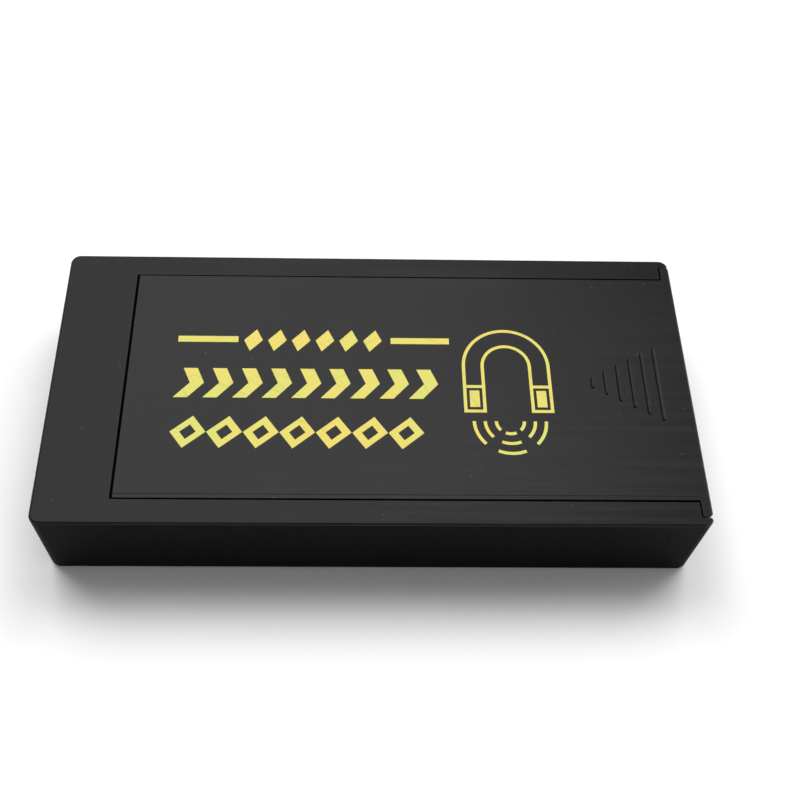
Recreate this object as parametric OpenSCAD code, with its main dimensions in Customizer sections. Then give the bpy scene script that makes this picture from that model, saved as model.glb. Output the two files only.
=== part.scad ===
// Magnetic key holder box: a shallow moulded case with a lid that slides out
// at one end, carried on two block magnets set in the underside.
//
// Units are millimetres. The origin is on the bottom centre of the closed
// box, +X is the way the lid slides out, +Z is up.

/* [Case] */
// Length over both ends, lid closed
case_length = 98; // [90:1:130]
// Width over both side walls
case_width = 48; // [44:1:70]
// Height from the magnet faces to the top
case_height = 16; // [15:0.5:24]
// Radius of the upright corners
corner_radius = 1.8; // [1.2:0.1:3]
// Lean of each outer wall from base to top
wall_draft = 0.25; // [0.1:0.05:0.5]
// Rounding of the outer top edge
top_edge_radius = 0.4; // [0.2:0.1:0.6]
// Rounding of the outer base edge
base_edge_radius = 0.6; // [0.3:0.1:1]
// Thickness of the side walls
side_wall = 1.6; // [1.4:0.1:2.4]
// Thickness of the closed end and of the lid end wall
end_wall = 1.8; // [1.4:0.1:2.4]
// Thickness of the floor
floor_thickness = 1.6; // [1.2:0.1:2.4]
// Thickness of the deck and the side rails over the lid tongues
deck_thickness = 1.6; // [1.2:0.1:2]
// Length of the fixed deck at the closed end
deck_length = 11.3; // [8:0.1:16]
// Width of each side rail, from the outer face to the opening
rail_width = 4.1; // [3.6:0.1:6]
// Radius of the two corners of the lid opening at the deck
opening_corner = 0.3; // [0.2:0.1:1.5]

/* [Slide] */
// Gap between the lid and the rails, each side
side_gap = 0.2; // [0.1:0.05:0.4]
// Share of its play by which the lid rests towards the back
lid_rest = 0.5; // [0:0.1:0.6]
// Gap under and over each lid tongue
slide_gap = 0.15; // [0.1:0.05:0.3]
// Gap at the leading edge of the lid plate
lead_gap = 0.4; // [0.2:0.1:0.8]
// Gap between the lid end wall and the case around it
end_gap = 0.2; // [0.1:0.05:0.3]
// Thickness of the lid tongues
tongue_thickness = 1.4; // [1:0.1:2]
// Reach of the leading tongue under the deck
lead_tongue = 2.4; // [1.5:0.1:4]
// Width of the ledges that carry the tongues
ledge_width = 1.5; // [1:0.1:2.5]
// Height of the ledges at the tip
ledge_tip = 0.4; // [0.3:0.1:0.8]
// Height of the detent bumps on the ledges
detent_height = 0.12; // [0.05:0.01:0.14]
// Width of the detent bumps along the slide
detent_width = 1.6; // [1:0.1:2.4]
// Distance of the detent bumps from the open end
detent_setback = 9; // [6:0.5:20]
// Bevels on the wall tips and lid corners at the open end
tip_bevel = 0.4; // [0.2:0.05:0.6]

/* [Lid] */
// Thickness of the lid plate
lid_thickness = 1.6; // [1.2:0.1:2]
// Thickness of the skirts between the plate and the tongues
skirt_thickness = 1.4; // [1:0.1:2]
// Width of the sunk border along each long edge
border_width = 0.65; // [0.4:0.05:1.2]
// Depth of the sunk border
border_depth = 0.08; // [0.05:0.01:0.3]
// Number of thumb ribs
rib_count = 6; // [2:1:8]
// Length of the shortest thumb rib
rib_first = 2.1; // [1.5:0.1:4]
// Growth in length from one rib to the next
rib_growth = 2.24; // [1:0.02:2.5]
// Distance from one rib to the next
rib_pitch = 2.03; // [1.6:0.01:2.4]
// Width of each rib
rib_width = 0.64; // [0.4:0.02:1]
// Height of the ribs above the lid
rib_height = 0.3; // [0.15:0.05:0.5]
// Distance from the lid end to the longest rib
rib_setback = 5.1; // [4:0.1:8]

/* [Magnets] */
// Distance between the centres of the two magnets
magnet_spacing = 48; // [46:0.5:50]
// Length of each block magnet
magnet_length = 38; // [30:1:40]
// Width of each block magnet
magnet_width = 22; // [16:1:28]
// Thickness of each block magnet
magnet_thickness = 3; // [2:0.1:4]
// Bevel on the magnet edges
magnet_bevel = 0.35; // [0.2:0.05:0.6]
// How far the magnets stand out of the base
magnet_proud = 0.2; // [0.1:0.05:0.5]
// Thickness of the steel backing plates
plate_thickness = 0.8; // [0.5:0.1:1.2]
// Corner radius of the backing plates
plate_corner = 1.5; // [0.8:0.1:3]
// Thickness of the glue over each backing plate
glue_thickness = 0.2; // [0.1:0.05:0.4]
// Distance from the plate edge in to the glue
glue_margin = 2; // [1:0.5:4]
// Gap between each magnet and its pocket
pocket_gap = 0.15; // [0.1:0.05:0.3]
// Height of the locating ribs in the pockets
pocket_rib = 0.1; // [0.04:0.02:0.1]
// Thickness of the pocket walls and roof
pocket_wall = 1.2; // [1:0.1:1.8]
// Bevel around the mouth of each pocket
pocket_bevel = 0.4; // [0.2:0.1:0.8]

/* [Hidden] */
$fn = 48;
over = 1;                                        // extra reach of a cutter
half_length = case_length / 2;
half_width = case_width / 2;
base_z = magnet_proud;                           // underside of the moulding
floor_z = base_z + floor_thickness;              // inside floor
deck_z = case_height - deck_thickness;           // underside of deck and rails
wall_y = half_width - side_wall;                 // inner face of the side walls
closed_x = -half_length + end_wall;              // inner face of the closed end
rail_end_x = half_length - end_wall - end_gap;   // where rails and ledges stop
opening_x = -half_length + deck_length;          // closed end of the lid opening
opening_y = half_width - rail_width;             // side of the lid opening
wall_lean = atan(wall_draft / (case_height - base_z));

lid_lead_x = opening_x + lead_gap;               // leading edge of the lid plate
lid_wall_x = half_length - end_wall;             // inner face of the lid end wall
lid_y = opening_y - side_gap;
lid_shift = lid_rest * min(side_gap, end_gap);   // lid centre, towards +Y
tongue_y = wall_y - side_gap;
tongue_lead_x = lid_lead_x - lead_tongue;
tongue_top = deck_z - slide_gap;
tongue_bottom = tongue_top - tongue_thickness;
tongue_corner = 1.5;
ledge_z = tongue_bottom - slide_gap;
ledge_y = wall_y - ledge_width;
lid_wall_y = wall_y - end_gap;
lid_under = case_height - lid_thickness;
detent_x = half_length - detent_setback;

magnet_x = magnet_spacing / 2;                   // centre of each magnet
plate_z = magnet_thickness;
glue_z = plate_z + plate_thickness;
pocket_top = glue_z + glue_thickness;
pocket_length = magnet_length + 2 * pocket_gap;
pocket_width = magnet_width + 2 * pocket_gap;

// Points on an arc about [cx, cy], from angle a to angle b.
function arc(cx, cy, r, a, b, n = 4) =
    [for (i = [0:n]) let (t = a + (b - a) * i / n) [cx + r * cos(t), cy + r * sin(t)]];

// Outline of the wall from a vertical axis out to reach at the base.
function wall_outline(reach) = concat(
    [[0, base_z]],
    arc(reach - base_edge_radius, base_z + base_edge_radius, base_edge_radius, -90, -wall_lean),
    arc(reach - wall_draft - top_edge_radius, case_height - top_edge_radius, top_edge_radius,
        wall_lean, 90),
    [[0, case_height]]);

// Outline of a rectangle with rounded corners.
function plate_outline(l, w, r) = concat(
    arc(l / 2 - r, w / 2 - r, r, 0, 90), arc(r - l / 2, w / 2 - r, r, 90, 180),
    arc(r - l / 2, r - w / 2, r, 180, 270), arc(l / 2 - r, r - w / 2, r, 270, 360));

// A 2D shape in YZ drawn out along X from x0 to x1.
module along_x(x0, x1) {
    translate([x0, 0, 0]) rotate([90, 0, 90]) linear_extrude(height = x1 - x0) children();
}

// A 2D shape in XZ drawn out along Y, from -y to y.
module along_y(y) {
    translate([0, y, 0]) rotate([90, 0, 0]) linear_extrude(height = 2 * y) children();
}

// The child and its mirror image across the XZ plane.
module both_sides() {
    children();
    mirror([0, 1, 0]) children();
}

// A box from one corner to the opposite one.
module span(a, b) {
    translate(a) cube(b - a);
}

// Plan of a panel that starts at x0 with two rounded corners and runs to x1.
module panel_plan(x0, x1, y, r) {
    polygon(concat([[x1, -y], [x1, y]], arc(x0 + r, y - r, r, 90, 180),
                   arc(x0 + r, r - y, r, 180, 270)));
}

// The closed outer form: flat sides that lean, round corners, soft edges.
module outer_block() {
    straight_x = half_length - corner_radius;
    straight_y = half_width - corner_radius;
    along_x(-straight_x, straight_x) {
        polygon(wall_outline(half_width));
        mirror([1, 0]) polygon(wall_outline(half_width));
    }
    along_y(straight_y) {
        polygon(wall_outline(half_length));
        mirror([1, 0]) polygon(wall_outline(half_length));
    }
    for (sx = [0, 1], sy = [0, 1])
        mirror([sx, 0, 0]) mirror([0, sy, 0])
            translate([straight_x, straight_y, 0])
                rotate_extrude(angle = 90) polygon(wall_outline(corner_radius));
}

// Bevel cutter at the open end, on the upright edge at y.
module tip_cutter(y) {
    translate([half_length, y, base_z]) rotate([0, -wall_lean, 0])
        linear_extrude(height = case_height + over)
            polygon([[-tip_bevel, 0], [over, -tip_bevel - over], [over, tip_bevel + over]]);
}

// Ledge and detent bump that carry one tongue of the lid.
module ledge() {
    root = wall_y + side_wall / 2;
    slope = ledge_width + side_wall / 2;
    along_x(closed_x - end_wall / 2, rail_end_x)
        polygon([[ledge_y, ledge_z], [root, ledge_z], [root, ledge_z - ledge_tip - slope],
                 [ledge_y, ledge_z - ledge_tip]]);
    along_span = [ledge_y + 0.15, wall_y - 0.15];
    translate([detent_x, along_span[1], ledge_z]) rotate([90, 0, 0])
        linear_extrude(height = along_span[1] - along_span[0])
            polygon([[-detent_width / 2, 0], [-detent_width / 5, detent_height],
                     [detent_width / 5, detent_height], [detent_width / 2, 0],
                     [detent_width / 2, -0.2], [-detent_width / 2, -0.2]]);
}

// Solid tower over a magnet, standing on the floor.
module pocket_tower(x) {
    l = pocket_length / 2 + pocket_wall;
    w = pocket_width / 2 + pocket_wall;
    span([x - l, -w, base_z + floor_thickness / 2], [x + l, w, pocket_top + pocket_wall]);
}

// Pocket for magnet, plate and glue, open to the underside.
module pocket_cutter(x) {
    l = pocket_length / 2;
    w = pocket_width / 2;
    span([x - l, -w, base_z - over], [x + l, w, pocket_top]);
    intersection() {
        translate([x, 0, 0]) along_y(w + pocket_bevel + 0.01)
            polygon([[-l, base_z + pocket_bevel], [-l - pocket_bevel, base_z],
                     [-l - pocket_bevel, base_z - over], [l + pocket_bevel, base_z - over],
                     [l + pocket_bevel, base_z], [l, base_z + pocket_bevel]]);
        along_x(x - l - pocket_bevel - 0.01, x + l + pocket_bevel + 0.01)
            polygon([[-w, base_z + pocket_bevel], [-w - pocket_bevel, base_z],
                     [-w - pocket_bevel, base_z - over], [w + pocket_bevel, base_z - over],
                     [w + pocket_bevel, base_z], [w, base_z + pocket_bevel]]);
    }
}

// Locating ribs on the pocket walls, clear of the mouth bevel.
module pocket_ribs(x) {
    l = pocket_length / 2;
    w = pocket_width / 2;
    z = base_z + pocket_bevel + 0.2;
    for (dx = [-l / 2, l / 2])
        both_sides()
            span([x + dx - 0.4, w - pocket_rib, z], [x + dx + 0.4, w + 0.2, pocket_top + 0.2]);
    for (side = [-1, 1])
        span([min(x + side * (l - pocket_rib), x + side * (l + 0.2)), -0.4, z],
             [max(x + side * (l - pocket_rib), x + side * (l + 0.2)), 0.4, pocket_top + 0.2]);
}

module case_body() {
    color([0.035, 0.035, 0.038])
    difference() {
        union() {
            difference() {
                outer_block();
                // key space, open at the lid end
                span([closed_x, -wall_y, floor_z], [half_length + over, wall_y, deck_z]);
                // lid opening between the rails
                translate([0, 0, deck_z - over])
                    linear_extrude(height = deck_thickness + 2 * over)
                        panel_plan(opening_x, half_length + over, opening_y, opening_corner);
                // slot for the lid end wall
                span([rail_end_x, -wall_y, floor_z],
                     [half_length + over, wall_y, case_height + over]);
            }
            both_sides() ledge();
            for (x = [-magnet_x, magnet_x]) pocket_tower(x);
        }
        for (x = [-magnet_x, magnet_x])
            difference() {
                pocket_cutter(x);
                pocket_ribs(x);
            }
        both_sides() tip_cutter(wall_y);
    }
}

// One thumb rib, lying along Y with round ends and its axis just under the top.
module thumb_rib(x, length) {
    r = rib_width / 2;
    half = length / 2 - r;
    translate([x, 0, case_height + rib_height - r]) rotate([90, 0, 0])
        rotate_extrude() polygon(concat([[0, -half - r]], arc(0, -half, r, -67.5, 0, 3),
                                        arc(0, half, r, 0, 67.5, 3), [[0, half + r]]));
}

module sliding_lid() {
    color([0.04, 0.04, 0.043])
    translate([0, lid_shift, 0])
    difference() {
        union() {
            // plate, with skirts and tongues on three sides
            difference() {
                union() {
                    translate([0, 0, tongue_bottom]) linear_extrude(height = tongue_thickness)
                        panel_plan(tongue_lead_x, lid_wall_x + end_wall / 2, tongue_y,
                                   tongue_corner);
                    translate([0, 0, tongue_bottom])
                        linear_extrude(height = case_height - tongue_bottom)
                            panel_plan(lid_lead_x, lid_wall_x + end_wall / 2, lid_y,
                                       opening_corner);
                }
                span([lid_lead_x + skirt_thickness, skirt_thickness - lid_y, tongue_bottom - over],
                     [lid_wall_x, lid_y - skirt_thickness, lid_under]);
            }
            // end wall, following the lean of the case end
            intersection() {
                along_y(lid_wall_y) polygon(wall_outline(half_length));
                span([lid_wall_x, -lid_wall_y, floor_z + end_gap],
                     [half_length + over, lid_wall_y, case_height + over]);
            }
            // thumb ribs, shortest furthest from the end
            for (i = [0:rib_count - 1])
                thumb_rib(half_length - rib_setback - (rib_count - 1 - i) * rib_pitch,
                          rib_first + i * rib_growth);
        }
        // sunk border along each long edge
        both_sides()
            span([lid_lead_x - over, lid_y - border_width, case_height - border_depth],
                 [lid_wall_x, lid_y + over, case_height + over]);
        // detent grooves under the tongues
        both_sides()
            translate([detent_x, tongue_y + over, tongue_bottom]) rotate([90, 0, 0])
                linear_extrude(height = ledge_width + over + side_gap)
                    polygon([[-detent_width * 0.6, -over], [-detent_width * 0.6, 0],
                             [-detent_width / 4, detent_height], [detent_width / 4, detent_height],
                             [detent_width * 0.6, 0], [detent_width * 0.6, -over]]);
        both_sides() tip_cutter(lid_wall_y);
    }
}

// Block magnet with bevelled edges, its face on the ground plane.
module block_magnet(x) {
    l = magnet_length / 2;
    w = magnet_width / 2;
    b = magnet_bevel;
    t = magnet_thickness;
    color([0.16, 0.16, 0.17])
    translate([x, 0, 0])
    intersection() {
        along_y(w)
            polygon([[-l, b], [b - l, 0], [l - b, 0], [l, b], [l, t - b], [l - b, t], [b - l, t],
                     [-l, t - b]]);
        along_x(-l, l)
            polygon([[-w, b], [b - w, 0], [w - b, 0], [w, b], [w, t - b], [w - b, t], [b - w, t],
                     [-w, t - b]]);
        linear_extrude(height = t)
            polygon([[-l, b - w], [b - l, -w], [l - b, -w], [l, b - w], [l, w - b], [l - b, w],
                     [b - l, w], [-l, w - b]]);
    }
}

// Steel plate that closes the field behind a magnet.
module backing_plate(x) {
    color([0.62, 0.63, 0.65])
    translate([x, 0, plate_z]) linear_extrude(height = plate_thickness)
        polygon(plate_outline(magnet_length, magnet_width, plate_corner));
}

// Glue between a backing plate and the roof of its pocket.
module glue_bed(x) {
    color([0.78, 0.74, 0.62])
    translate([x, 0, glue_z]) linear_extrude(height = glue_thickness)
        polygon(plate_outline(magnet_length - 2 * glue_margin, magnet_width - 2 * glue_margin,
                              plate_corner));
}

module left_magnet() { block_magnet(-magnet_x); }
module right_magnet() { block_magnet(magnet_x); }
module left_backing_plate() { backing_plate(-magnet_x); }
module right_backing_plate() { backing_plate(magnet_x); }
module left_glue_bed() { glue_bed(-magnet_x); }
module right_glue_bed() { glue_bed(magnet_x); }

case_body();
sliding_lid();
left_magnet();
right_magnet();
left_backing_plate();
right_backing_plate();
left_glue_bed();
right_glue_bed();
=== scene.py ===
"""Magnetic key holder box: finishes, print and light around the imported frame.

All lengths are metres in the part's own frame. The origin is on the bottom
centre of the closed box, +X is the way the lid slides out and +Z is up.
"""

import logging
import math
from abc import ABC, abstractmethod
from dataclasses import dataclass, field
from enum import Enum
from typing import Callable, Iterable, Optional, Sequence, Union

import bmesh
import bpy
from bmesh.types import BMEdge, BMesh, BMFace, BMVert
from bpy.types import Material, Mesh, MeshPolygon, Node, NodeOutputs, NodeSocket, NodeTree, Object
from mathutils import Matrix, Vector


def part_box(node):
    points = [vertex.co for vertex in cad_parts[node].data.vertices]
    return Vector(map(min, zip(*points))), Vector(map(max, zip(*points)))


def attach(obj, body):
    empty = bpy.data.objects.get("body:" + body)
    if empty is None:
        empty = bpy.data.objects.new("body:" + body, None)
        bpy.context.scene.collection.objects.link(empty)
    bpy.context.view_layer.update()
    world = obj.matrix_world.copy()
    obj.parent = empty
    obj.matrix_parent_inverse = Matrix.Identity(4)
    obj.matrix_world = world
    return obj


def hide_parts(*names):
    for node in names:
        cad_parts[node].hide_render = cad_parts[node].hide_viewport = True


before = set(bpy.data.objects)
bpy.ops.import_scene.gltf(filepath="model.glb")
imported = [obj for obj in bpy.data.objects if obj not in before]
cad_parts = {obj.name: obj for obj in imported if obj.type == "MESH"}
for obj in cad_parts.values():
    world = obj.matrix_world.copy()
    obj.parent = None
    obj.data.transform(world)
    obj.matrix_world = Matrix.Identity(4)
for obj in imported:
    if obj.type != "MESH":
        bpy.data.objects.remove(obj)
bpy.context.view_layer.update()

log = logging.getLogger("key_box")

MM = 0.001
MERGE_DISTANCE = 1e-6
FLAT_ANGLE = math.radians(0.3)
SMOOTH_ANGLE = math.radians(34)
MIDDLE = 0.5  # of a range from 0 to 1, such as noise or the picture

Colour = tuple[float, float, float]
Point2 = tuple[float, float]
Value = Union[float, Sequence[float], NodeSocket]
Give = Callable[[str, Value], None]

WHITE: Colour = (1.0, 1.0, 1.0)


# ---- Node recipes --------------------------------------------------------


def opaque(colour: Value) -> Value:
    """Gives a colour's socket as it is, and a plain colour with full alpha."""
    return colour if isinstance(colour, NodeSocket) else (*colour, 1.0)


class Recipe:
    """Adds and joins nodes in one tree, so that a finish reads as a recipe."""

    def __init__(self, tree: NodeTree) -> None:
        """Starts from an empty tree."""
        self.tree = tree
        tree.nodes.clear()

    def add(self, kind: str, inputs: Optional[dict] = None, **settings: object) -> Node:
        """Adds one node.

        Args:
            kind: Blender's type name of the node.
            inputs: Values or sockets for the node's inputs, by name or place.
            **settings: Properties of the node itself.

        Returns:
            The new node.
        """
        node = self.tree.nodes.new(kind)
        for name, value in settings.items():
            setattr(node, name, value)
        for key, value in (inputs or {}).items():
            self.feed(node.inputs[key], value)
        return node

    def feed(self, target: NodeSocket, value: Value) -> None:
        """Links a socket to an input, or sets the input's own value.

        Args:
            target: The input to feed.
            value: A socket, a number, a colour or a vector.
        """
        if isinstance(value, NodeSocket):
            self.tree.links.new(value, target)
        else:
            target.default_value = value

    def math(self, operation: str, *values: Value) -> NodeSocket:
        """Does the Math node's operation on one, two or three values."""
        return self.add("ShaderNodeMath", dict(enumerate(values)), operation=operation).outputs[0]

    def shift(self, start: Value, value: Value, share: float) -> NodeSocket:
        """Moves a number by a share of a value."""
        return self.math("MULTIPLY_ADD", value, share, start)

    def times(self, first: Value, second: Value) -> NodeSocket:
        """Multiplies two numbers."""
        return self.math("MULTIPLY", first, second)

    def vector(self, operation: str, *values: Value, output: int = 0) -> NodeSocket:
        """Does the Vector Math node's operation; output 0 is its vector, 1 its number."""
        node = self.add("ShaderNodeVectorMath", dict(enumerate(values)), operation=operation)
        return node.outputs[output]

    def ramp(self, value: Value, low: float, high: float) -> NodeSocket:
        """Maps the values from low to high smoothly onto 0 to 1."""
        inputs = {"Value": value, "From Min": low, "From Max": high}
        return self.add("ShaderNodeMapRange", inputs, interpolation_type="SMOOTHSTEP").outputs[0]

    def blend(self, share: Value, first: Value, second: Value) -> NodeSocket:
        """Mixes two colours: a share of 0 gives the first, of 1 the second."""
        inputs = {0: share, 6: opaque(first), 7: opaque(second)}
        return self.add("ShaderNodeMix", inputs, data_type="RGBA").outputs[2]

    def noise(self, vector: Value, scale: Value,
              detail: float = 3.0, roughness: float = 0.5) -> NodeSocket:
        """Gives soft noise about the middle, with its scale in waves per metre."""
        inputs = {"Vector": vector, "Scale": scale, "Detail": detail, "Roughness": roughness}
        return self.add("ShaderNodeTexNoise", inputs).outputs[0]


def open_group(name: str, inputs: dict[str, float],
               outputs: Iterable[str] = ("Mask",)) -> tuple[Recipe, dict[str, NodeSocket], Give]:
    """Makes a shader node group that reads coordinates and some numbers.

    Args:
        name: Name of the group.
        inputs: Default of each number input, by name.
        outputs: Names of the number outputs.

    Returns:
        The recipe for the group's tree, its inputs' sockets by name, and a
        function that feeds one named output.
    """
    tree = bpy.data.node_groups.new(name, "ShaderNodeTree")
    tree.interface.new_socket("Vector", in_out="INPUT", socket_type="NodeSocketVector")
    for label, default in inputs.items():
        socket = tree.interface.new_socket(label, in_out="INPUT", socket_type="NodeSocketFloat")
        socket.default_value = default
    for label in outputs:
        tree.interface.new_socket(label, in_out="OUTPUT", socket_type="NodeSocketFloat")
    recipe = Recipe(tree)
    start = recipe.add("NodeGroupInput")
    end = recipe.add("NodeGroupOutput")

    def give(label: str, value: Value) -> None:
        """Feeds the group's output of that name."""
        recipe.feed(end.inputs[label], value)

    return recipe, {label: start.outputs[label] for label in ("Vector", *inputs)}, give


class SharedEffects:
    """The node groups that more than one finish uses, each built once."""

    SCRATCH_RUNS = ((0.35, 26.0), (1.9, 34.0), (2.75, 20.0))  # turn in radians, stretch
    SCRATCH_NOISE = (2.0, 0.4)  # detail and roughness
    SCRATCH_CREST = (0.655, 0.70)
    SCRATCH_SHIFT = 3.0
    SPECK_EDGE = 0.05
    SPECK_CHANCE = (0.86, 0.99)
    BEND = (0.985, 0.86)  # agreement of the rounded and the true normal
    BEVEL_SAMPLES = 4
    BREAK_NOISE = (4.0, 0.6)
    BREAK = (0.36, 0.62)
    STREAK_STRETCH = (1.0, 38.0, 8.0)
    STREAK_NOISE = (4.0, 0.62)
    STREAK = (0.38, 0.66)
    PATCH = (0.40, 0.62)
    COARSE = 2.0  # layers of a coarser noise

    def __init__(self) -> None:
        """Builds every group."""
        self.scratches = self._build_scratches()
        self.dust = self._build_dust()
        self.mottle = self._build_mottle()
        self.edge_rub = self._build_edge_rub()
        self.wipe_haze = self._build_wipe_haze()

    def _build_scratches(self) -> NodeTree:
        """Hairline scratches that cross at three angles.

        Returns:
            The group, with Mask as its output.
        """
        recipe, given, give = open_group(
            "hairline_scratches", {"Scale": 60.0, "Amount": 0.5, "Turn": 0.0})
        total: Value = 0.0
        for angle, stretch in self.SCRATCH_RUNS:
            turn = recipe.math("ADD", given["Turn"], angle)
            turned = recipe.add("ShaderNodeVectorRotate", {"Vector": given["Vector"], "Angle": turn})
            thin = recipe.vector("MULTIPLY", turned.outputs[0], (1.0, stretch, 1.0))
            moved = recipe.vector("ADD", thin, (angle, angle * self.SCRATCH_SHIFT, 0.0))
            noise = recipe.noise(moved, given["Scale"], *self.SCRATCH_NOISE)
            total = recipe.math("MAXIMUM", total, recipe.ramp(noise, *self.SCRATCH_CREST))
        give("Mask", recipe.times(total, given["Amount"]))
        return recipe.tree

    def _build_dust(self) -> NodeTree:
        """Sparse specks of settled dust.

        Returns:
            The group, with Mask as its output.
        """
        recipe, given, give = open_group("dust_specks", {"Scale": 700.0, "Amount": 0.5, "Size": 0.12})
        cells = recipe.add("ShaderNodeTexVoronoi", {"Vector": given["Vector"], "Scale": given["Scale"]})
        chance = recipe.add("ShaderNodeSeparateColor", {0: cells.outputs["Color"]})
        near = recipe.math("SUBTRACT", given["Size"], cells.outputs["Distance"])
        speck = recipe.ramp(near, 0.0, self.SPECK_EDGE)
        faint = recipe.times(speck, recipe.ramp(chance.outputs[0], *self.SPECK_CHANCE))
        give("Mask", recipe.times(faint, given["Amount"]))
        return recipe.tree

    def _build_mottle(self) -> NodeTree:
        """Broad and fine unevenness of a surface.

        Returns:
            The group, with Broad and Fine as its outputs, both about zero.
        """
        recipe, given, give = open_group(
            "surface_mottle", {"Broad Scale": 45.0, "Fine Scale": 2200.0}, ("Broad", "Fine"))
        broad = recipe.noise(given["Vector"], given["Broad Scale"])
        fine = recipe.noise(given["Vector"], given["Fine Scale"], self.COARSE)
        for label, wave in (("Broad", broad), ("Fine", fine)):
            give(label, recipe.math("SUBTRACT", wave, MIDDLE))
        return recipe.tree

    def _build_edge_rub(self) -> NodeTree:
        """Rubbed edges: where the surface bends sharply, broken up by noise.

        Returns:
            The group, with Mask as its output.
        """
        recipe, given, give = open_group(
            "edge_rub", {"Width": 0.3 * MM, "Amount": 0.5, "Break Scale": 500.0})
        rounded = recipe.add("ShaderNodeBevel", {"Radius": given["Width"]}, samples=self.BEVEL_SAMPLES)
        flat = recipe.add("ShaderNodeNewGeometry")
        agreement = recipe.vector("DOT_PRODUCT", rounded.outputs[0], flat.outputs["Normal"], output=1)
        bend = recipe.ramp(agreement, *self.BEND)
        noise = recipe.noise(given["Vector"], given["Break Scale"], *self.BREAK_NOISE)
        broken = recipe.ramp(noise, *self.BREAK)
        give("Mask", recipe.times(recipe.times(bend, broken), given["Amount"]))
        return recipe.tree

    def _build_wipe_haze(self) -> NodeTree:
        """Faint streaks left by wiping along the length, thicker in some patches.

        Returns:
            The group, with Mask as its output.
        """
        recipe, given, give = open_group("wipe_haze", {"Scale": 32.0, "Amount": 0.5, "Patch Scale": 28.0})
        drawn = recipe.vector("MULTIPLY", given["Vector"], self.STREAK_STRETCH)
        streak = recipe.ramp(recipe.noise(drawn, given["Scale"], *self.STREAK_NOISE), *self.STREAK)
        patch = recipe.ramp(recipe.noise(given["Vector"], given["Patch Scale"], self.COARSE), *self.PATCH)
        give("Mask", recipe.times(recipe.times(streak, patch), given["Amount"]))
        return recipe.tree


# ---- Finishes ------------------------------------------------------------


class FinishMaterial:
    """A new material with a Principled shader and object coordinates."""

    def __init__(self, name: str) -> None:
        """Starts the material.

        Args:
            name: Name of the material.
        """
        self.material = bpy.data.materials.new(name)
        self.material.use_nodes = True
        self.recipe = Recipe(self.material.node_tree)
        self.shader = self.recipe.add("ShaderNodeBsdfPrincipled")
        self.output = self.recipe.add("ShaderNodeOutputMaterial")
        self.recipe.feed(self.output.inputs[0], self.shader.outputs[0])
        self.place = self.recipe.add("ShaderNodeTexCoord").outputs["Object"]

    def effect(self, group: NodeTree, **values: float) -> NodeOutputs:
        """Places a shared effect.

        Args:
            group: The effect's node group.
            **values: The group's inputs, with _ for a space in the name.

        Returns:
            The effect's outputs.
        """
        node = self.recipe.add("ShaderNodeGroup", node_tree=group)
        self.recipe.feed(node.inputs["Vector"], self.place)
        for label, value in values.items():
            node.inputs[label.replace("_", " ")].default_value = value
        return node.outputs

    def mask(self, group: NodeTree, **values: float) -> NodeSocket:
        """Places a shared effect that has one Mask output."""
        return self.effect(group, **values)["Mask"]

    def set(self, **values: Value) -> None:
        """Sets or links the shader's inputs.

        Args:
            **values: Inputs by name, with _ for a space.
        """
        for label, value in values.items():
            name = label.replace("_", " ")
            self.recipe.feed(self.shader.inputs[name], opaque(value) if name == "Base Color" else value)

    def open_where(self, share: NodeSocket) -> None:
        """Lets light through part of the surface.

        Args:
            share: 0 where the surface is solid, 1 where it lets light through.
        """
        clear = self.recipe.add("ShaderNodeBsdfTransparent")
        layers = {0: share, 1: self.shader.outputs[0], 2: clear.outputs[0]}
        mixed = self.recipe.add("ShaderNodeMixShader", layers)
        self.recipe.feed(self.output.inputs[0], mixed.outputs[0])

    def bump(self, height: NodeSocket, depth: float) -> None:
        """Roughens the surface by a relief of about 0 to 1, where 1 stands for the depth in metres."""
        node = self.recipe.add("ShaderNodeBump", {"Height": height, "Distance": depth, "Strength": 1.0})
        self.recipe.feed(self.shader.inputs["Normal"], node.outputs[0])


@dataclass(frozen=True)
class FinishRecipe(ABC):
    """What every finish has: the name of its material, and how it is mixed."""

    name: str

    def build(self, effects: SharedEffects) -> Material:
        """Makes the material.

        Args:
            effects: The shared node groups.

        Returns:
            The finished material.
        """
        finish = FinishMaterial(self.name)
        self.mix(finish, effects)
        return finish.material

    @abstractmethod
    def mix(self, finish: FinishMaterial, effects: SharedEffects) -> None:
        """Adds the finish's nodes and sets its shader.

        Args:
            finish: The material to fill.
            effects: The shared node groups.
        """


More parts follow.
